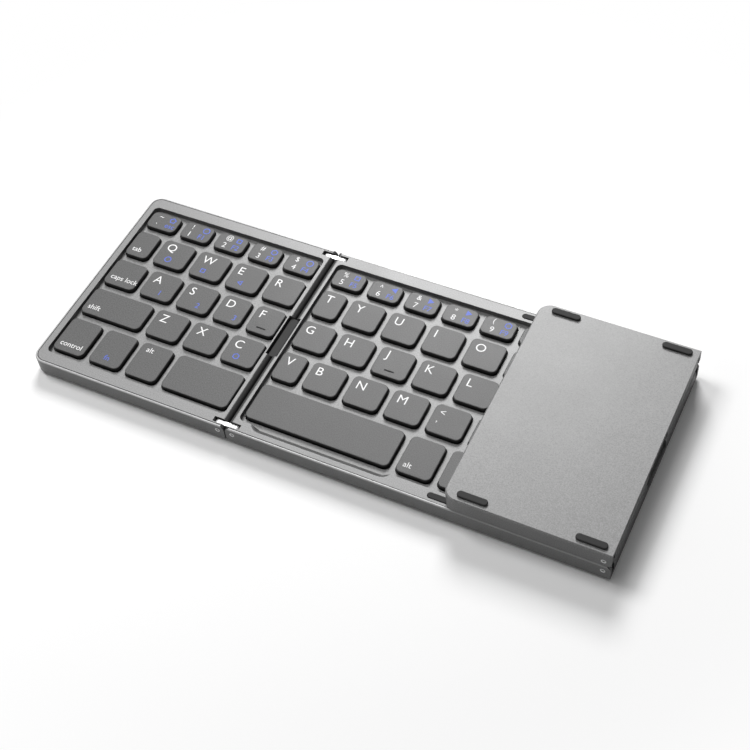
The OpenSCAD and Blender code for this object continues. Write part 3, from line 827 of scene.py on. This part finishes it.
PRINTS: dict[str, list[list[Mark]]] = {
    "key_backquote": [number("~", "`", "esc", 5)],
    "key_1": [number("!", "1", "F1", ROUND)],
    "key_2": [number("@", "2", "F2", 4, 45)],
    "key_3": [number("#", "3", "F3", 6)],
    "key_4": [number("$", "4", "F4", ROUND)],
    "key_tab": [word("tab")],
    "key_q": [shaped("Q", ROUND)], "key_w": [shaped("W", 4, 45)], "key_e": [shaped("E", 3, 90)],
    "key_r": [letter("R")],
    "key_caps": [word("caps lock")],
    "key_a": [paired("A", "1")], "key_s": [paired("S", "2")], "key_d": [paired("D", "3")],
    "key_f": [letter("F")],
    "key_left_shift": [word("shift")],
    "key_z": [letter("Z")], "key_x": [letter("X")], "key_c": [shaped("C", 6)],
    "key_control": [word("control")],
    "key_function": [word("fn", Ink.BLUE, left=5.8)],
    "key_alt": [[Mark("alt", WORD_HEIGHT, left=2.9, up=-3.2)]],
    "main_number_keys": [
        number("%", "5", "F5", 4, 45), number("^", "6", "F6", 3, 90),
        number("&", "7", "F7", 3, -90), number("*", "8", "F8", 3, -90),
        number("(", "9", "F9", 6), number(")", "0", "F10", ROUND),
        number("_", "-", "F11", 3, 180), number("+", "=", "F12", 3),
        word("back"),
    ],
    "main_upper_letter_keys": [
        letter("T"), letter("Y"), letter("U"), letter("I"), letter("O"),
        letter("P"), pair("{", "["), pair("}", "]"), pair("|", "\\"),
    ],
    "main_home_keys": [
        letter("G"), letter("H"), letter("J"), letter("K"), letter("L"), pair(":", ";"),
        pair("\"", "'"), word("enter"),
    ],
    "main_lower_letter_keys": [
        letter("V"), letter("B"), letter("N"), letter("M"), pair("<", ","),
        pair(">", "."), pair("?", "/"), word("shift"),
    ],
    "main_modifier_keys": [word("alt"), word("ctrl", left=4.6)],
    "arrow_keys": [arrow(0), arrow(90), arrow(180), arrow(-90)],
}


# ---------------------------------------------------------------- sub-assemblies


class Assembly(Protocol):
    """A part of the scene that can be built."""

    def build(self) -> None:
        """Makes it."""


class Cap(Enum):
    """The areas of a key, by their place among its finishes."""

    TOP = 0
    SIDE = 1
    # painted shade on the homing bar
    BAR = 2


@dataclass
class Keys:
    """All the key caps and their prints.

    Attributes:
        rounding: width of the rounded edge of a key's top, in mm.
        least_top: the least area of a face that can be the top of a key, in mm2.
        grey_slope: how far up a face has to look to be as grey as the top.
        grey_depth: how far below the top the grey may reach, in mm.
    """

    rounding: float = 0.4
    least_top: float = 20.0
    grey_slope: float = 0.45
    grey_depth: float = 0.6

    def cap(self, node: str) -> list[Box]:
        """Makes the key caps of one solid.

        Args:
            node: the solid's name.

        Returns:
            The boxes of its keys.
        """
        blank = Blank.of(node)
        keys = blank.islands()
        crown = max(face.calc_center_median().z for face in blank.shape.faces
                    if face.normal.z > SQUARE and face.calc_area() > self.least_top * MM * MM)

        def on_rim(edge: bmesh.types.BMEdge) -> bool:
            """Finds the edges round the tops of the keys.

            Args:
                edge: an edge.

            Returns:
                Whether it is one of them.
            """
            flat = any(face.normal.z > SQUARE for face in edge.link_faces)
            steep = any(abs(face.normal.z) < ALONG for face in edge.link_faces)
            level = all(abs(vertex.co.z - crown) < TOUCH * MM for vertex in edge.verts)
            return flat and steep and level

        blank.soften(self.rounding, segments=4, least=60, where=on_rim)

        def area(face: bmesh.types.BMFace) -> int:
            """Tells apart the grey top of a key, its dark sides and its homing bar, which gets
            painted shade.

            Args:
                face: a face.

            Returns:
                The number of the area that it belongs to.
            """
            middle = face.calc_center_median().z
            if middle > crown + TOUCH * MM:
                return Cap.BAR.value
            high = middle > crown - self.grey_depth * MM
            return Cap.TOP.value if high and face.normal.z > self.grey_slope else Cap.SIDE.value

        blank.paint(area)
        # the third finish is painted shade on the homing bars
        dress(node, blank, [KEY_TOP, KEY_SIDE, POCKET_SHADE])
        return [(low, Vector((high.x, high.y, crown))) for low, high in keys]

    def build(self) -> None:
        """Makes every key and its print."""
        press = Press()
        nodes = [node for node in frame["nodes"]
                 if node.startswith("key_") or node in PRINTS or node.endswith("space_bar")]
        for node in sorted(nodes):
            keys = self.cap(node)
            if node not in PRINTS:
                continue
            blank = Blank()
            for key, marks in zip(keys, PRINTS[node]):
                for mark in marks:
                    press.print(blank, key, mark)
            prints = blank.release(f"{node}_print", [WHITE_PRINT, BLUE_PRINT])
            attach(prints, body_of(node))


class Area(Enum):
    """The areas of a casing, by their place among its finishes."""

    PAINT = 0
    # painted shade in the link pockets and along the tray
    GAP = 1
    # painted shade on the faces that look out over a seam
    HINGE = 2
    # lighter uncoated metal on the tray's rim, partly a painted highlight
    EDGE = 3
    # painted shade on sloped recess faces
    RECESS = 4


@dataclass
class Casing:
    """The metal tray of a panel and the frame that is set in it.

    Attributes:
        panel: the panel's name.
        frame: the frame's name.
        up: 1 where the panel's top looks up and -1 where it looks down.
        bare_and_highlit: whether the tray's rim gets the lighter uncoated-metal finish, partly a
            painted highlight.
        tray_edge: width of the softened edges of the tray, in mm.
        frame_edge: width of the softened edges of the frame, in mm.
        gap_edge: width of the frame's edges along the tray, in mm.
        corner: radius of the frame's free corners, in mm.
        room: space around a link plate that counts as its pocket, in mm.
        brink: depth below the top that still belongs to the rim of a pocket, in mm.
        seam_slope: how far a face has to look towards a seam to belong to it.
        rim_slope: how far up a face of the tray's rim has to look.
        rim_depth: how far below the top the tray's rim reaches, in mm.
        gap_depth: depth and width of the painted-shade line between the tray and the frame, in mm.
        recess_slope: how far up a sloped face of a recess has to look.
        level_slope: how far up or down a face has to look to count as level.
        slip: how far an edge that runs along the tray may lie from it, in mm.
        frame_smooth: the angle below which the frame's faces are shaded as one, in degrees.
        hinges: places of the panel's pins, each with the side on which it lies.
        free: places of its sides that have no hinge.
        pockets: boxes of the link plates' pockets.
        box: the frame's box.
        level: height of the panel's top.
    """

    panel: str
    frame: str
    up: int = 1
    bare_and_highlit: bool = True
    tray_edge: float = 0.06
    frame_edge: float = 0.12
    gap_edge: float = 0.22
    corner: float = 4.1
    room: tuple[float, float, float] = (0.3, 0.2, 1.2)
    brink: float = 0.4
    seam_slope: float = 0.25
    rim_slope: float = 0.3
    rim_depth: float = 0.5
    gap_depth: float = 0.3
    recess_slope: float = 0.5
    level_slope: float = 0.9
    slip: float = 0.05
    frame_smooth: float = 24.0
    hinges: list[tuple[float, int]] = field(init=False)
    free: list[float] = field(init=False)
    pockets: list[Box] = field(init=False)
    box: Box = field(init=False)
    level: float = field(init=False)

    def measure(self) -> None:
        """Measures the frame, and finds the pins, the free sides and the pockets."""
        self.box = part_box(self.frame)
        self.level = self.box[1].z if self.up > 0 else self.box[0].z
        low, high = self.box
        middle = (low.x + high.x) / 2
        places = [(box[0].x + box[1].x) / 2
                  for box in Blank.of(f"{self.panel}_hinge_pins").islands()]
        pins = sorted({round(place / MM / TOUCH) * TOUCH * MM for place in places})
        self.hinges = [(pin, 1 if pin > middle else -1) for pin in pins]
        sides = {side for _, side in self.hinges}
        self.free = [place for place, side in ((low.x, -1), (high.x, 1)) if side not in sides]
        room = Vector(self.room) * MM
        self.pockets = [
            (low - room, high + room)
            for node in ("left_hinge_links", "right_hinge_links")
            for low, high in Blank.of(node).islands()
        ]

    def margin(self, place: Vector) -> float:
        """Measures how far inside the frame's outline a point lies.

        Args:
            place: the point.

        Returns:
            Its distance from the outline, in metres.
        """
        corner = self.corner * MM
        across = min((abs(place.x - side) for side in self.free), default=corner)
        along = min(place.y - self.box[0].y, self.box[1].y - place.y)
        if across < corner and along < corner:
            return corner - math.hypot(corner - across, corner - along)
        return min(across, along)

    def near_top(self, place: Vector, reach: float) -> bool:
        """Whether a point lies within so many mm of the panel's top."""
        return abs(place.z - self.level) < reach * MM

    def over_seam(self, face: bmesh.types.BMFace) -> bool:
        """Whether a face looks out over a seam."""
        middle = face.calc_center_median()
        return any(face.normal.x * side > self.seam_slope and (middle.x - pin) * side > 0
                   for pin, side in self.hinges)

    def in_pocket(self, face: bmesh.types.BMFace) -> bool:
        """Tells the pockets of the link plates from the rest.

        Args:
            face: a face.

        Returns:
            Whether it lies in such a pocket.
        """
        middle = face.calc_center_median()
        if abs(face.normal.z) > self.level_slope and self.near_top(middle, self.brink):
            return False
        return any(all(low[axis] < middle[axis] < high[axis] for axis in range(3))
                   for low, high in self.pockets)

    def tray_area(self, face: bmesh.types.BMFace) -> int:
        """Finds the area of the tray that a face belongs to.

        Args:
            face: a face.

        Returns:
            The area's number.
        """
        # faces that look out over a seam get painted shade
        if self.over_seam(face):
            return Area.HINGE.value
        high = self.near_top(face.calc_center_median(), self.rim_depth)
        # the rim's lighter finish is partly a painted highlight
        rim = high and face.normal.z * self.up > self.rim_slope
        return Area.EDGE.value if rim and self.bare_and_highlit else Area.PAINT.value

    def frame_area(self, face: bmesh.types.BMFace) -> int:
        """Finds the area of the frame that a face belongs to; pockets, the line along the tray,
        the seam's edges and sloped recess faces get painted shade.

        Args:
            face: a face.

        Returns:
            The area's number.
        """
        middle = face.calc_center_median()
        rise = face.normal.z * self.up
        outer = self.near_top(middle, self.gap_depth) and self.margin(middle) < self.gap_depth * MM
        beside_tray = outer and ALONG < rise < SQUARE
        if beside_tray or self.in_pocket(face):
            return Area.GAP.value
        if self.over_seam(face):
            return Area.HINGE.value
        sloped = self.recess_slope < rise < self.level_slope
        recessed = sloped and not self.near_top(middle, self.brink)
        return Area.RECESS.value if recessed else Area.PAINT.value

    def build(self) -> None:
        """Makes the tray and the frame."""
        self.measure()
        tray = f"{self.panel}_bottom_shell"
        blank = Blank.of(tray).soften(self.tray_edge).paint(self.tray_area)
        dress(tray, blank, [SHELL_PAINT, POCKET_SHADE, HINGE_EDGE_SHADE, BARE_EDGE_AND_HIGHLIGHT])

        def along_tray(edge: bmesh.types.BMEdge) -> bool:
            """Whether an edge runs along the tray, at the panel's top."""
            return all(
                self.near_top(vertex.co, self.slip) and self.margin(vertex.co) < self.slip * MM
                for vertex in edge.verts
            )

        blank = Blank.of(self.frame)
        blank.soften(self.frame_edge, 3, least=30, where=lambda edge: not along_tray(edge))
        blank.soften(self.gap_edge, 2, least=60, where=along_tray)
        blank.paint(self.frame_area)
        finishes = [FRAME_PAINT, POCKET_SHADE, HINGE_EDGE_SHADE, BARE_EDGE_AND_HIGHLIGHT, RECESS_SHADE_PAINT]
        dress(self.frame, blank, finishes, self.frame_smooth)


@dataclass
class Fittings:
    """Feet, bumpers, link plates, pins, screws and the touchpad's pieces.

    Attributes:
        foot_edge: width of a foot's rounded edges, in mm.
        plate_edge: width of a link plate's softened edges, in mm.
        pin_ring: width of the ring on a pin's head that carries a painted highlight, in mm.
        pin_dimple: depth of the recess inside that ring, in mm.
        pin_slope: width of that recess's sloped side, in mm.
        touch_edge: width of the touchpad's softened edges, in mm.
        button_edge: width of a click button's softened edges, in mm.
    """

    foot_edge: float = 0.35
    plate_edge: float = 0.2
    pin_ring: float = 0.4
    pin_dimple: float = 0.12
    pin_slope: float = 0.04
    touch_edge: float = 0.15
    button_edge: float = 0.2

    def pins(self, node: str) -> None:
        """Makes the hinge pins of one solid, with a ring and a recess on each end, painted as a
        highlight and as shade.

        Args:
            node: the solid's name.
        """
        blank = Blank.of(node)
        shape = blank.shape
        ends = [face for face in shape.faces if abs(face.normal.y) > SQUARE]
        bmesh.ops.inset_individual(
            shape, faces=ends, thickness=self.pin_ring * MM, depth=0, use_even_offset=True,
        )
        bmesh.ops.inset_individual(
            shape, faces=ends, thickness=self.pin_slope * MM, depth=-self.pin_dimple * MM,
            use_even_offset=True,
        )
        recess = set(ends)
        blank.paint(lambda face: int(face in recess))
        dress(node, blank, [PIN_RING_HIGHLIGHT, PIN_RECESS_SHADE])

    def build(self) -> None:
        """Makes all of them."""
        for node in ("main_feet", "left_feet", "touchpad_feet", "rim_bumpers"):
            dress(node, Blank.of(node).soften(self.foot_edge, 3), [RUBBER])
        for node in ("left_hinge_links", "right_hinge_links"):
            dress(node, Blank.of(node).soften(self.plate_edge, 3), [CHROME])
        for node in ("main_hinge_pins", "left_hinge_pins", "touchpad_hinge_pins"):
            self.pins(node)
        pad = Blank.of("touchpad_surface").soften(self.touch_edge, 3)
        dress("touchpad_surface", pad, [TOUCH_SATIN])
        for node in ("left_click_button", "right_click_button"):
            dress(node, Blank.of(node).soften(self.button_edge, 3), [KEY_TOP])
        for node in ("main_circuit_board", "left_circuit_board", "touchpad_board"):
            carry_over(node, BOARD)
        for node in ("main_dome_sheet", "left_dome_sheet"):
            carry_over(node, DOME_RUBBER)
        for node in ("main_case_screws", "left_case_screws", "touchpad_case_screws",
                     "charging_socket"):
            carry_over(node, STEEL)
        carry_over("battery", WRAP)


@dataclass
class Cable:
    """A flat cable across a seam, in two halves.

    Attributes:
        seam: the seam's name.
        panel: the body of the panel beyond the seam; not used.
        width: the cable's width, in mm.
        thickness: its thickness, in mm.
        reach: length of its tail inside a panel, from the seam's edge, in mm.
        level: height of its middle inside the main panel, in mm.
        steps: number of pieces that a half is divided into along its length.
        strands: number of pieces that it is divided into across.
    """

    seam: str
    panel: str
    width: float = 20.0
    thickness: float = 0.8
    reach: float = 6.9
    level: float = 4.0
    steps: int = 28
    strands: int = 8

    def hinge(self) -> Vector:
        """The middle of the seam's hinge, in mm."""
        low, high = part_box(f"{self.seam}_hinge_links")
        return (low + high) / 2 / MM

    def strip(self, name: str, path: Line, turned: bool) -> bpy.types.Object:
        """Makes one half.

        Args:
            name: the piece's name.
            path: the middle line in mm, from the tail's end at 0 to the seam's middle at 1.
            turned: whether the half's faces are turned over first.

        Returns:
            The piece.
        """
        blank = Blank()
        shape = blank.shape
        bmesh.ops.create_grid(shape, x_segments=self.steps, y_segments=self.strands, size=0.5)
        for vertex in shape.verts:
            across = vertex.co.y * self.width * MM
            vertex.co = path(vertex.co.x + 0.5) * MM
            vertex.co.y = across
        if turned:
            bmesh.ops.reverse_faces(shape, faces=shape.faces)
        shape.normal_update()
        for vertex in shape.verts:
            vertex.co += vertex.normal * self.thickness * MM / 2
        bmesh.ops.solidify(shape, geom=shape.faces[:], thickness=self.thickness * MM)
        bmesh.ops.recalc_face_normals(shape, faces=shape.faces)
        piece = blank.release(name, [SLEEVE])
        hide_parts(f"{self.seam}_flex_cable")
        return piece

    def lay(self, near: Line, far: Line, middle: Vector, edge: Vector) -> None:
        """Makes both halves.

        Args:
            near: the middle line of the half in the main panel, in mm.
            far: that of the half in the panel beyond the seam, in mm.
            middle: the seam's middle, in mm; not used.
            edge: from there to the main panel's edge, in mm; not used.
        """
        inner = self.strip(f"{self.seam}_cable_main_half", near, False)
        outer = self.strip(f"{self.seam}_cable_far_half", far, True)
        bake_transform(inner)
        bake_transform(outer)


@dataclass
class ArchedCable(Cable):
    """A cable that arches up between two open panels.

    Attributes:
        overlap: length by which its tail runs on past its reach, in mm.
        bend: distance from the seam's middle within which it bends, in mm.
        arch: height of the arch over its level, in mm.
        foot: distance from the seam's middle to the foot of the arch, in mm.
        fullness: 1 for a round arch, and less for one with fuller shoulders.
    """

    overlap: float = 0.2
    bend: float = 2.4
    arch: float = 2.8
    foot: float = 1.86
    fullness: float = 0.3

    def build(self) -> None:
        """Makes the cable."""
        middle = self.hinge().x
        tail = self.reach + self.overlap - self.foot

        def across(share: float) -> Vector:
            """Follows the line from the tail's end to the seam's middle.

            Args:
                share: how much of it has passed.

            Returns:
                The distance from the seam's middle and the height there, in mm.
            """
            if share < 0.5:
                return Vector((self.foot + tail * (1 - 2 * share), 0, self.level))
            turn = (2 * share - 1) * math.pi / 2
            return Vector((self.foot * max(math.cos(turn), 0) ** self.fullness, 0,
                           self.level + self.arch * math.sin(turn) ** self.fullness))

        def towards_main(share: float) -> Vector:
            """The line from the main panel to the seam's middle."""
            return Vector((middle, 0, 0)) + across(share)

        def towards_far(share: float) -> Vector:
            """The line from the far panel to the seam's middle."""
            point = across(share)
            return Vector((middle - point.x, 0, point.z))

        self.lay(towards_main, towards_far, Vector((middle, 0, self.level)),
                 Vector((self.bend, 0, 0)))


@dataclass
class BowedCable(Cable):
    """A cable that bows out between two panels that lie face to face.

    Attributes:
        bow: distance from the pins to the middle of the bow, in mm.
        radius: radius of its bends, in mm.
        pin_inset: distance of a pin from its panel's edge, in mm.
        slack: height of the bow's straight part that stays with the panel, in mm.
    """

    bow: float = 1.6
    radius: float = 1.1
    pin_inset: float = 2.9
    slack: float = 0.3

    def build(self) -> None:
        """Makes the cable."""
        hinge = self.hinge()
        crown = hinge.x + self.bow
        start = crown - self.radius
        tail = self.reach - self.pin_inset + self.bow - self.radius
        bend = self.radius * math.pi / 2
        rise = hinge.z - self.level - self.radius

        def lower(share: float) -> Vector:
            """Follows the line from the main panel, round its bend, to the seam's middle.

            Args:
                share: how much of it has passed.

            Returns:
                The point there, in mm.
            """
            run = share * (tail + bend + rise)
            if run < tail:
                return Vector((start - tail + run, 0, self.level))
            if run < tail + bend:
                turn = (run - tail) / self.radius
                return Vector((start + self.radius * math.sin(turn), 0,
                               self.level + self.radius * (1 - math.cos(turn))))
            return Vector((crown, 0, self.level + self.radius + run - tail - bend))

        def upper(share: float) -> Vector:
            """Follows the same line from the other panel, upside down.

            Args:
                share: how much of it has passed.

            Returns:
                The point there, in mm.
            """
            point = lower(share)
            point.z = 2 * hinge.z - point.z
            return point

        self.lay(lower, upper, Vector((crown, 0, hinge.z)),
                 Vector((0, 0, self.level + self.slack - hinge.z)))


# ---------------------------------------------------------------- studio


def direction(azimuth: float, elevation: float) -> Vector:
    """Finds the way from the object to a place round it.

    Args:
        azimuth: its angle from the front to the right, in degrees.
        elevation: its angle above the horizon, in degrees.

    Returns:
        The unit vector towards it.
    """
    turn, rise = math.radians(azimuth), math.radians(elevation)
    return Vector((
        math.sin(turn) * math.cos(rise), -math.cos(turn) * math.cos(rise), math.sin(rise),
    ))


@dataclass(frozen=True)
class Lamp:
    """A square soft lamp that faces the object.

    Attributes:
        name: its name.
        azimuth: its place round the object, in degrees from the front to the right.
        elevation: its height above the horizon, in degrees.
        distance: its distance, in metres.
        size: length of its sides, in metres.
        radiance: how bright it looks, where 1 is white.
    """

    name: str
    azimuth: float
    elevation: float
    distance: float
    size: float
    radiance: float

    def hang(self) -> None:
        """Puts the lamp in the scene."""
        data = bpy.data.lights.new(self.name, "AREA")
        data.shape, data.size = "SQUARE", self.size
        data.energy = self.radiance * math.pi * self.size ** 2
        lamp = put(self.name, data)
        towards = direction(self.azimuth, self.elevation)
        lamp.location = towards * self.distance
        lamp.rotation_mode = "QUATERNION"
        lamp.rotation_quaternion = towards.to_track_quat("Z", "Y")


@dataclass
class Studio:
    """Floor, lamps, sky and camera.

    Attributes:
        aim: point at the picture's centre, in mm.
        distance: from that point to the camera, in mm.
        azimuth: the camera's place round the object, in degrees from the front to the right.
        elevation: its height above the horizon, in degrees.
        roll: its turn about its own axis, in degrees.
        lens: its focal length, in mm.
        sensor: width of its sensor, in mm.
        clip: nearest and furthest distance that it sees, in m.
        sky_level: brightness of the room all round.
        ground: radius of the level floor, in m.
        bend: radius of the bend by which it turns up into a backdrop, in m.
        wall: height of the backdrop above that bend, in m.
        steps: number of steps of that bend.
        around: number of steps round the floor.
        fade: distances from the object between which the floor turns plain white, in m.
        floor_lit: the floor's grey as it lights the object.
        floor_seen: its grey as the camera and the shiny pieces see it.
        lamps: the lamps.
    """

    aim: tuple[float, float, float] = (12.797, -9.106, 16.569)
    distance: float = 526.49
    azimuth: float = 31.317
    elevation: float = 52.088
    roll: float = 7.020
    lens: float = 67.735
    sensor: float = 36.0
    clip: tuple[float, float] = (0.01, 20.0)
    sky_level: float = 0.13
    ground: float = 2.2
    bend: float = 0.8
    wall: float = 0.4
    steps: int = 12
    around: int = 96
    fade: tuple[float, float] = (0.13, 0.24)
    floor_lit: float = 0.24
    floor_seen: float = 0.97
    lamps: tuple[Lamp, ...] = (
        Lamp("overhead", azimuth=20, elevation=85, distance=1.4, size=0.8, radiance=1.1),
        Lamp("front_fill", azimuth=320, elevation=32, distance=0.9, size=0.5, radiance=0.7),
        Lamp("back_window", azimuth=200, elevation=42, distance=1.3, size=0.5, radiance=17.0),
        Lamp("left_window", azimuth=262, elevation=58, distance=1.3, size=0.45, radiance=11.0),
    )

    def ground_shape(self) -> bpy.types.Mesh:
        """Makes a round floor whose edge turns up into a backdrop.

        Returns:
            Its mesh.
        """
        outer = self.ground + self.bend
        profile = [(0.0, 0.0)]
        for step in range(self.steps + 1):
            turn = step / self.steps * math.pi / 2
            profile.append((self.ground + self.bend * math.sin(turn),
                            self.bend * (1 - math.cos(turn))))
        profile.append((outer, self.bend + self.wall))
        shape = bmesh.new()
        points = [shape.verts.new((along, 0, height)) for along, height in profile]
        lines = [shape.edges.new(ends) for ends in zip(points, points[1:])]
        bmesh.ops.spin(
            shape, geom=points + lines, axis=(0, 0, 1), cent=(0, 0, 0), steps=self.around,
            angle=2 * math.pi, use_merge=True,
        )
        bmesh.ops.remove_doubles(shape, verts=shape.verts, dist=WELD * MM)
        bmesh.ops.recalc_face_normals(shape, faces=shape.faces)
        for face in shape.faces:
            face.smooth = True
        return mesh_of(shape, "floor")

    def floor(self) -> None:
        """Lays a pale floor, which throws less light on the object than it shows."""
        mesh = self.ground_shape()
        recipe = Recipe("floor")
        rays = recipe.node("ShaderNodeLightPath", {}, {})
        seen, mirrored, through = (
            Wire(recipe.tree, rays.outputs[name])
            for name in ("Is Camera Ray", "Is Glossy Ray", "Is Transmission Ray")
        )
        pale = seen.highest(mirrored).highest(through)
        colour = recipe.mix(pale, grey(self.floor_lit), grey(self.floor_seen))
        away = recipe.wire("ShaderNodeVectorMath", {"operation": "LENGTH"}, {0: recipe.place()},
                           "Value")
        sockets = {"Value": away, "From Min": self.fade[0], "From Max": self.fade[1]}
        far = recipe.wire("ShaderNodeMapRange", {"interpolation_type": "SMOOTHSTEP"}, sockets)
        matt = recipe.wire("ShaderNodeBsdfDiffuse", {}, {"Color": colour})
        white = recipe.wire("ShaderNodeEmission", {}, {"Color": (1.0, 1.0, 1.0, 1.0)})
        sockets = {0: pale * far, 1: matt, 2: white}
        mesh.materials.append(recipe.surface(recipe.node("ShaderNodeMixShader", {}, sockets)))
        put("floor", mesh)

    def sky(self) -> None:
        """Fills the room with an even light."""
        world = bpy.data.worlds.new("room")
        world.use_nodes = True
        background = world.node_tree.nodes["Background"]
        background.inputs["Color"].default_value = (1, 1, 1, 1)
        background.inputs["Strength"].default_value = self.sky_level
        bpy.context.scene.world = world

    def camera(self) -> None:
        """Sets the camera at the photograph's angle."""
        back = direction(self.azimuth, self.elevation)
        data = bpy.data.cameras.new("camera")
        data.lens, data.sensor_width = self.lens, self.sensor
        data.clip_start, data.clip_end = self.clip
        camera = put("camera", data)
        upright = back.to_track_quat("Z", "Y").to_matrix().to_4x4()
        rolled = upright @ Matrix.Rotation(math.radians(-self.roll), 4, "Z")
        place = (Vector(self.aim) + back * self.distance) * MM
        camera.matrix_world = Matrix.Translation(place) @ rolled
        bpy.context.scene.camera = camera

    def build(self) -> None:
        """Sets up the whole studio."""
        bpy.context.scene.view_settings.view_transform = "Standard"
        self.floor()
        self.sky()
        for lamp in self.lamps:
            lamp.hang()
        self.camera()


def main() -> None:
    """Builds the keyboard's looks and the studio."""
    logging.basicConfig(level=logging.INFO, format="%(name)s: %(message)s")
    parts: list[Assembly] = [
        Casing("main", "main_key_frame"),
        Casing("left", "left_key_frame"),
        # the touchpad's rim lies in shade, so it gets no painted highlight
        Casing("touchpad", "touchpad_frame", up=-1, bare_and_highlit=False),
        Keys(),
        Fittings(),
        ArchedCable("left", "left_panel"),
        BowedCable("right", "touchpad_panel"),
        Studio(),
    ]
    for part in parts:
        part.build()
        log.info("%s built", type(part).__name__)


if __name__ == "__main__":
    main()
